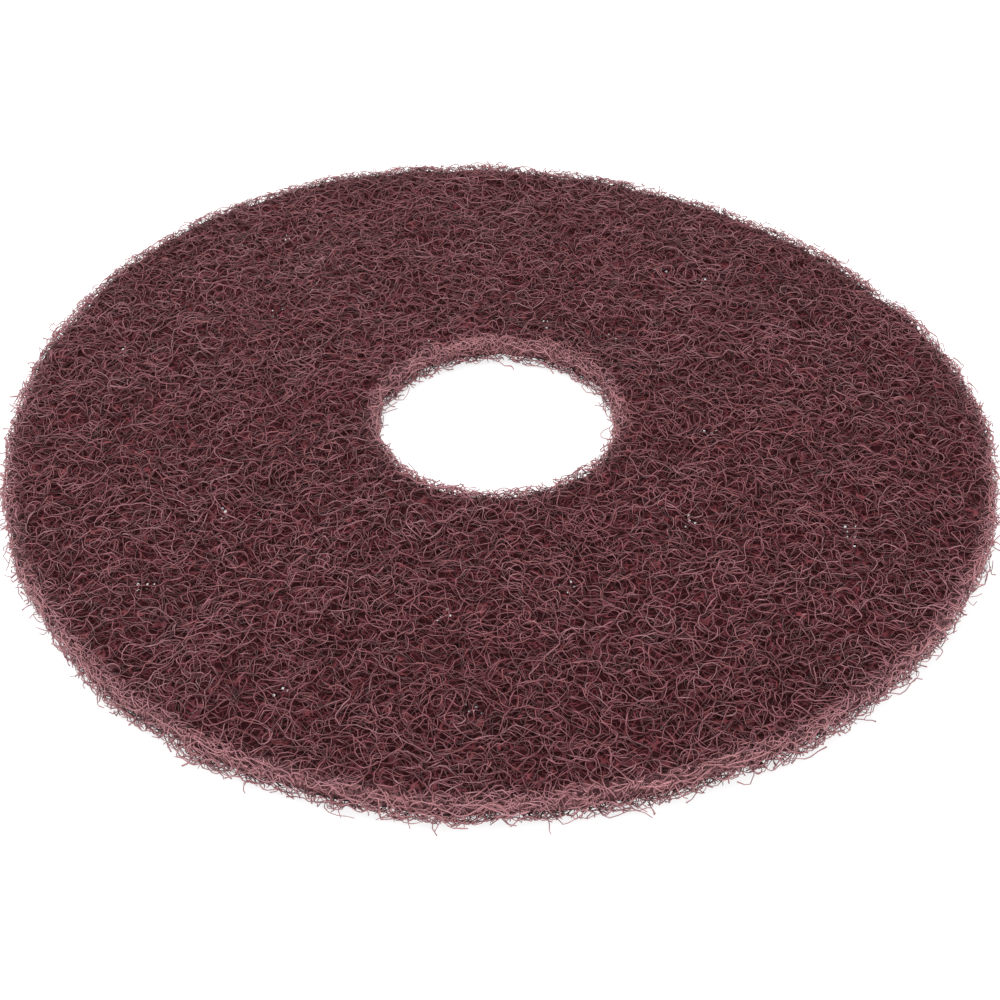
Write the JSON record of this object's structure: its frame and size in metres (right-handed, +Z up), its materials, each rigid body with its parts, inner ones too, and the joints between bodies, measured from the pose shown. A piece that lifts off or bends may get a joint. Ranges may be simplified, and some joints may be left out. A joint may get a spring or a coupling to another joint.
{
  "type": "floor polishing pad",
  "caption": "Thin round pad of open, resin-bonded fibre web with a round centre hole, for scrubbing or polishing hard floors under a rotary floor machine.",
  "frame": {"origin": "middle of the centre hole, on the face that lies on the floor", "axes": "+Z up through the hole, square to the pad's two faces; X and Y lie in the floor, with +Y away from the viewer of the picture"},
  "size_m": [0.3301, 0.3318, 0.011],
  "materials": {
    "fibre_web": "dark maroon nonwoven web of crimped, resin-coated fibres with abrasive grit, matt and open, its cut edges paler and hairy"
  },
  "bodies": {
    "root": {"polishing_pad": "fibre_web"}
  },
  "joints": []
}
